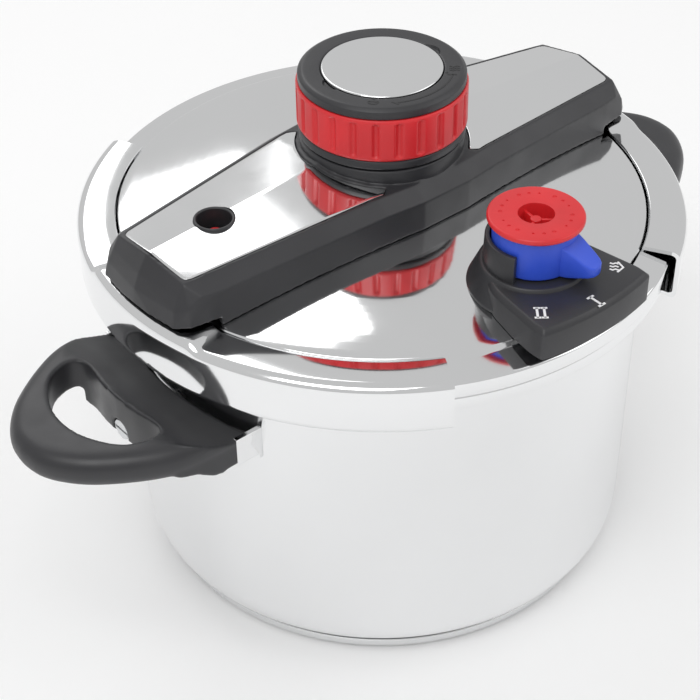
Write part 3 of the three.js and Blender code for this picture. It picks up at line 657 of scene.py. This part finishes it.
def build_knob():
    """The knob: black body, red grip, black crown with two finger recesses, bright plate."""
    placed(turned("knob_body", [
        (6.4, 19.9), (12.4, 19.9), (12.4, 35.7), (33.7, 35.7), (34.4, 36.4), (34.4, 39), (33.9, 39.7),
        (31.2, 39.7), (31.2, 57.8), (28.5, 57.8), (28.5, 42.5), (12, 42.5), (12, 50), (6.4, 50),
    ], radius=0.5), "knob", BLACK, "knob_hub")
    placed(grip_ring(), "knob", RED, "knob_grip")
    ring = turned("knob_crown", [
        (0, 59.9), (28.2, 59.9), (28.2, 58.5), (33.9, 58.5), (34, 59), (34, 61.7), (32.3, 62.9), (31.4, 63),
        (25.3, 63), (24.8, 62.6), (24.8, 61.4), (0, 61.4),
    ], radius=0.5, sharp=50)
    for angle in (174, -6):
        spot = (21.8 * math.cos(math.radians(angle)), 21.8 * math.sin(math.radians(angle)))
        recess = turned("recess", [(0, 61.9), (5.2, 61.9), (6, 63.6), (0, 63.6)], spot,
                        radius=0.2, segments=64)
        boolean(ring, recess)
    placed(ring, "knob", BLACK, "knob_top_ring")
    placed(turned("knob_plate", [
        (0, 61.7), (24.5, 61.7), (24.5, 63.1), (24.1, 63.4), (0, 63.4),
    ], radius=0.2), "knob", POLISHED, "knob_disc")


def build_knob_symbols():
    """The scale printed on the knob: a pot, the turning arc with its stops, a dot and steam."""
    low, high = 62.9, 63.08
    marks = [ribbon(arc(0, 0, 28.7, -119, -54, 40), 0.75, low, high),
             ribbon([(-15.2, -23.2), (-14.4, -26.4)], 0.9, low, high),
             ribbon([(15.4, -21.8), (18.2, -24.2)], 0.9, low, high)]
    pot = [arc(0, 0.4, 1.9, 180, 360, 12), [(-1.9, 0.4), (1.9, 0.4)], [(-0.5, 2.2), (0.5, 2.2)]]
    steam = [[(s, -2.2), (s + 0.6, -1), (s - 0.4, 0.4), (s + 0.3, 1.9)] for s in (-1.5, 0, 1.5)]
    marks.append(symbol("pot_mark", pot, 28, -138, (0, 0), 0.8, low, high))
    marks.append(symbol("steam_mark", steam, 28.8, -44, (0, 0), 0.7, low, high))
    marks.append(turned("dot_mark", [(0, low), (0.6, low), (0.6, high), (0, high)], (16.2, -20.4),
                        radius=0.02, segments=24))
    placed(merged("knob_scale", marks), "knob", BLACK_GLOSS)


def build_selector_marks():
    """The settings in white: two, one, and steam release."""
    low, high = 15.9, 16.12
    stroke = 0.95
    two = []
    for s in (-1.35, 1.35):
        two += [[(s, -3), (s, 3)], [(s - 1.25, 2.9), (s + 1.25, 2.9)], [(s - 1.25, -2.9), (s + 1.25, -2.9)]]
    one = [[(0, -3.2), (0, 3.2)], [(-1.7, 3), (1.7, 3)], [(-1.7, -3), (1.7, -3)]]
    steam = [[(s, -1), (s + 0.5, 0.2), (s - 0.2, 1.2), (s + 0.3, 2.4)] for s in (-2, 0, 2)]
    steam += [[(-3.4, -0.6), (0, -2.8), (3.4, -0.6)]]
    centre = (0, VALVE_Y)
    marks = [symbol("two", two, 33.1, -130, centre, stroke, low, high),
             symbol("one", one, 33.7, -91, centre, stroke, low, high),
             symbol("steam", steam, 31.7, -48.7, centre, 0.8, low, high)]
    placed(merged("selector_marks", marks), "lid", WHITE)


# ---- Pressure selector ----

def housing_outline(inset):
    """Plan of the selector's housing, its front edge on the lid's outer circle."""
    half = [(25.3 - inset, -92), (29.2 - inset, -117.5), (28.9 - inset, -123.0 + inset)]
    front = arc(0, 0, 126.4 - inset, -78, -102, 16)
    corner = fillet([(18 - inset * 0.5, -78), *half, front[0]], 5, closed=False, steps=8)
    other = [(-x, y) for x, y in reversed(corner)]
    return corner + front[1:-1] + other


def below_lid():
    """Everything under the lid's outer face."""
    radii = [109 * k / 20 for k in range(21)]
    top = [(r, dome_height(r) + 0.3) for r in radii]
    return turned("below", [(0, -60), (150, -60), (150, 3), *top[::-1]], radius=0.01, segments=128)


def selector_housing():
    """The black plate that carries the marks, cut to sit on the lid."""
    levels = [(-6, 0), (13.6, 0), (14.2, 0.15), (15.4, 1.3), (15.85, 1.75), (16, 2.3)]
    sections = [[(x, y, z) for x, y in housing_outline(inset)] for z, inset in levels]
    plate = lofted("housing", sections, sharp=40)
    return boolean(plate, below_lid())


def tower_wall():
    """The upright wall behind the collar, open towards the front."""
    sections = []
    steps = 90
    for k in range(steps + 1):
        angle = math.radians(-18 + (202 + 18) * k / steps)
        outline = fillet([(17.2, 17), (19.6, 17), (19.1, 28.2), (18.7, 28.6), (17.2, 28.6)], 0.3)
        sections.append([(r * math.cos(angle), VALVE_Y + r * math.sin(angle), z) for r, z in outline])
    return lofted("tower_wall", sections)


def selector_lever():
    """The blue lever that points at the chosen setting."""
    direction = math.radians(-76)
    sections = []
    for r, half, low, high in ((15.2, 6.4, 18.2, 31.6), (18, 6.0, 18.5, 30.2), (21, 5.4, 19.2, 28.6),
                               (24, 4.9, 20.1, 26.8), (26.2, 4.2, 20.6, 25.7), (27.6, 3.0, 20.9, 25.2),
                               (28.3, 1.2, 21.2, 24.9)):
        outline = fillet([(-half, low), (half, low), (half, high), (-half, high)], 0.9)
        ring = []
        for s, z in outline:
            x = r * math.cos(direction) - s * math.sin(direction)
            y = VALVE_Y + r * math.sin(direction) + s * math.cos(direction)
            ring.append((x, y, z))
        sections.append(ring)
    return lofted("selector_lever", sections, sharp=50)


def selector_cap():
    """The red cap with its open hub, and dimples that grow round it."""
    centre = (0, VALVE_Y)
    cap = turned("cap", [
        (0, 30), (8.6, 30), (8.6, 35.5), (18.2, 35.5), (18.8, 36.1), (18.8, 37.4), (18.2, 38), (7.1, 38),
        (7, 37.8), (7, 31.2), (0, 31.2),
    ], centre, radius=0.3, sharp=50)
    for group in range(6):
        for step, size in enumerate((0.95, 0.75, 0.55)):
            angle = math.radians(group * 60 + 14 - step * 17)
            x, y = 13.6 * math.cos(angle), VALVE_Y + 13.6 * math.sin(angle)
            dimple = turned("dimple", [(0, 37.6), (size * 0.7, 37.62), (size, 38.2), (0, 38.2)], (x, y),
                            radius=0.05, segments=16)
            boolean(cap, dimple)
    return cap


def cap_spokes():
    """The small hub in the red cap's opening, on three spokes."""
    centre = (0, VALVE_Y)
    parts = [turned("hub", [(0, 31), (2.2, 31), (2.2, 35.4), (1.9, 35.7), (0, 35.7)], centre, radius=0.2,
                    segments=48)]
    for angle in (80, 200, 320):
        a = math.radians(angle)
        along, across = Vector((math.cos(a), math.sin(a))), Vector((-math.sin(a), math.cos(a)))
        plan = ((1, -0.6), (7.2, -0.6), (7.2, 0.6), (1, 0.6))
        corners = [along * r + across * s + Vector(centre) for r, s in plan]
        spoke = prism(f"spoke_{angle}", [tuple(c) for c in corners], 31, 35.2)
        parts.append(bevelled(spoke, 0.2, 2))
    return merged("cap_spokes", parts)


def build_selector():
    """The selector: housing, tower, blue collar with its lever, and red cap."""
    placed(selector_housing(), "lid", BLACK, "valve_housing").name = "selector_housing"
    placed(turned("selector_tower", [
        (6.2, 12), (25.2, 5), (25.7, 7), (21.4, 16.4), (20.7, 17.4), (6.2, 17.4),
    ], (0, VALVE_Y), radius=0.5, sharp=50), "lid", BLACK)
    placed(tower_wall(), "lid", BLACK)
    placed(turned("selector_ring", [
        (6.2, 17.8), (15.7, 17.8), (16.5, 18.6), (16.5, 35.1), (9.2, 35.1), (9.2, 29.6), (6.2, 29.6),
    ], (0, VALVE_Y), radius=0.4), "selector", BLUE, "selector_collar")
    placed(selector_lever(), "selector", BLUE)
    placed(selector_cap(), "selector", RED, "selector_cap").name = "selector_button"
    placed(cap_spokes(), "selector", RED)


# ---- CAD nodes that stay as they are ----

CARRIED = {
    ALUMINIUM: ["base_core"],
    SILICONE: ["gasket", "indicator_seal"],
    BRASS: ["safety_valve", "safety_nut", "valve_body", "valve_nut", "valve_cone"],
    INNER: ["lid_stud", "stud_nut", "knob_clip", "bridge_channel", "cam_disc", "indicator_housing",
            "valve_filter", "valve_screw_left", "valve_screw_right", "valve_spring"]
    + [f"{name}_{side}" for side, _ in SIDES
       for name in ("handle_screw", "bridge_screw", "bridge_spacer", "bridge_nut", "slider", "cam_pin",
                    "jaw_rivet_a", "jaw_rivet_b")],
}


def finish_carried():
    """Gives the CAD nodes that stay their materials."""
    for material, names in CARRIED.items():
        for name in names:
            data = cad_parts[name].data
            data.materials.clear()
            data.materials.append(material)


# ---- Stage ----

# Each lamp's name, place and size in metres, and power in watts.
LAMPS = (("key", (-0.9, -0.5, 1.7), 1.1, 11),
         ("fill", (1.2, -1.0, 1.3), 1.4, 6),
         ("back", (0.3, 1.5, 1.6), 1.2, 8))
MIDDLE = (0, 0, 0.12)
CAMERA_PLACE = (-0.3856, -0.4436, 0.5553)
CAMERA_HEADING = (0.656, 0.755)
CAMERA_PITCH = 38.69


def build_stage():
    """The pale floor, the white surroundings and three soft lamps."""
    bpy.ops.mesh.primitive_plane_add(size=8, location=(0, 0, 0))
    floor = bpy.context.object
    floor.name = "floor"
    floor.data.materials.append(base_material("floor", (0.97, 0.97, 0.97), 0.7, 0)[0])
    world = bpy.data.worlds.new("studio")
    world.use_nodes = True
    world.node_tree.nodes["Background"].inputs["Color"].default_value = (1, 1, 1, 1)
    world.node_tree.nodes["Background"].inputs["Strength"].default_value = 0.62
    bpy.context.scene.world = world
    bpy.context.scene.view_settings.view_transform = "Standard"
    for name, place, size, power in LAMPS:
        light = bpy.data.lights.new(name, "AREA")
        light.size = size
        light.energy = power
        lamp = bpy.data.objects.new(name, light)
        lamp.location = place
        lamp.rotation_euler = (Vector(MIDDLE) - Vector(place)).to_track_quat("-Z", "Y").to_euler()
        bpy.context.scene.collection.objects.link(lamp)


def build_camera():
    """The camera at the photograph's angle."""
    camera = bpy.data.cameras.new("camera")
    camera.lens = 85.7
    camera.sensor_width = 36
    camera.shift_x = -0.0454
    camera.shift_y = -0.0043
    camera.clip_start = 0.01
    obj = bpy.data.objects.new("camera", camera)
    pitch = math.radians(CAMERA_PITCH)
    heading = Vector(CAMERA_HEADING).normalized() * math.cos(pitch)
    direction = Vector((heading.x, heading.y, -math.sin(pitch)))
    obj.location = CAMERA_PLACE
    obj.rotation_euler = direction.to_track_quat("-Z", "Y").to_euler()
    bpy.context.scene.collection.objects.link(obj)
    bpy.context.scene.camera = obj


build_camera()
build_stage()
build_pot()
build_handles()
build_lid()
build_jaws()
build_bridge()
build_knob()
build_knob_symbols()
build_selector()
build_selector_marks()
finish_carried()
